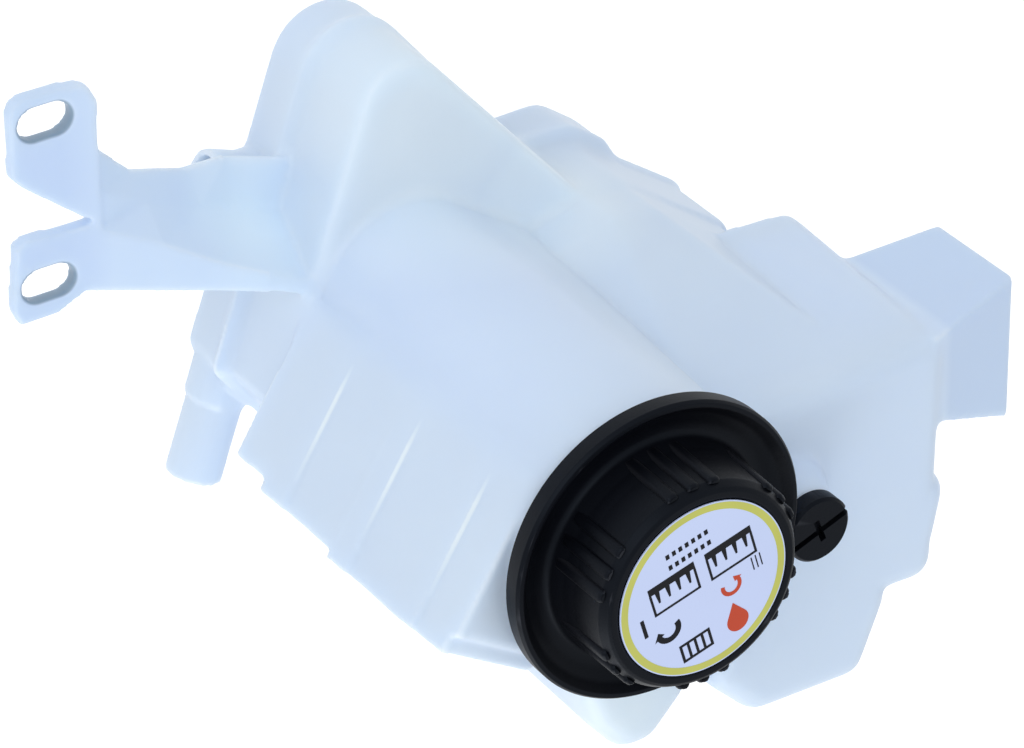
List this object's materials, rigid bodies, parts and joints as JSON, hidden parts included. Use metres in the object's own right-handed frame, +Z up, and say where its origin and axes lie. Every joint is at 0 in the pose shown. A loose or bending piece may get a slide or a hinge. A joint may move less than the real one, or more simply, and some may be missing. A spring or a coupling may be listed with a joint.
{
  "type": "coolant expansion tank",
  "caption": "Translucent plastic coolant expansion tank with a black screw pressure cap, a vent plug, hose spigots and a forked side bracket.",
  "frame": {"origin": "middle between the two slots of the fork bracket, on the underside of its tabs, where they sit", "axes": "+Z up along the filler neck as the tank hangs in the car, +X from the tank towards the fork bracket, -Y towards the deep lobe"},
  "size_m": [0.2669, 0.2083, 0.1754],
  "materials": {
    "tank_plastic": "translucent satin",
    "cap_plastic": "fine grain satin",
    "label_print": "satin print",
    "seal_rubber": "matt",
    "spring_steel": "drawn wire",
    "valve_brass": "turned"
  },
  "bodies": {
    "tank": {"upper_shell": "tank_plastic", "lower_shell": "tank_plastic"},
    "cap_valve": {"valve_housing": "cap_plastic", "housing_seal": "seal_rubber", "housing_cover": "cap_plastic", "pressure_spring": "spring_steel"},
    "cap_grip": {"cap_shell": "cap_plastic", "cap_label": "label_print"},
    "pressure_valve": {"pressure_plunger": "cap_plastic", "pressure_seal": "seal_rubber", "vacuum_spring": "spring_steel"},
    "vacuum_valve": {"vacuum_stem": "valve_brass", "vacuum_washer": "spring_steel"},
    "plug_ring": {"plug_seal": "seal_rubber"},
    "plug": {"plug_body": "cap_plastic"}
  },
  "joints": [
    {"name": "cap_lift", "type": "slide", "parent": "tank", "child": "cap_valve", "axis": [0, 0, 1], "range_m": [0, 0.01]},
    {"name": "cap_turn", "type": "hinge", "parent": "cap_valve", "child": "cap_grip", "pos_m": [-0.111, 0.0872, 0.1215], "axis": [0, 0, 1], "range_deg": [0, 721]},
    {"name": "pressure_lift", "type": "slide", "parent": "cap_valve", "child": "pressure_valve", "axis": [0, 0, 1], "range_m": [0, 0.003], "stiffness_N_per_m": 3500, "springref_m": -0.008, "deforming": ["pressure_spring"]},
    {"name": "vacuum_drop", "type": "slide", "parent": "pressure_valve", "child": "vacuum_valve", "axis": [0, 0, 1], "range_m": [-0.0015, 0], "stiffness_N_per_m": 200, "springref_m": 0.002, "deforming": ["vacuum_spring"]},
    {"name": "plug_lift", "type": "slide", "parent": "tank", "child": "plug_ring", "axis": [0, 0, 1], "range_m": [0, 0.008]},
    {"name": "plug_turn", "type": "hinge", "parent": "plug_ring", "child": "plug", "pos_m": [-0.1668, 0.1066, 0.1015], "axis": [0, 0, 1], "range_deg": [0, 1441]}
  ],
  "couplings": [
    {"joint": "cap_turn", "follows": "cap_lift", "rad_per_m": 1256.6},
    {"joint": "plug_turn", "follows": "plug_lift", "rad_per_m": 3141.6}
  ]
}
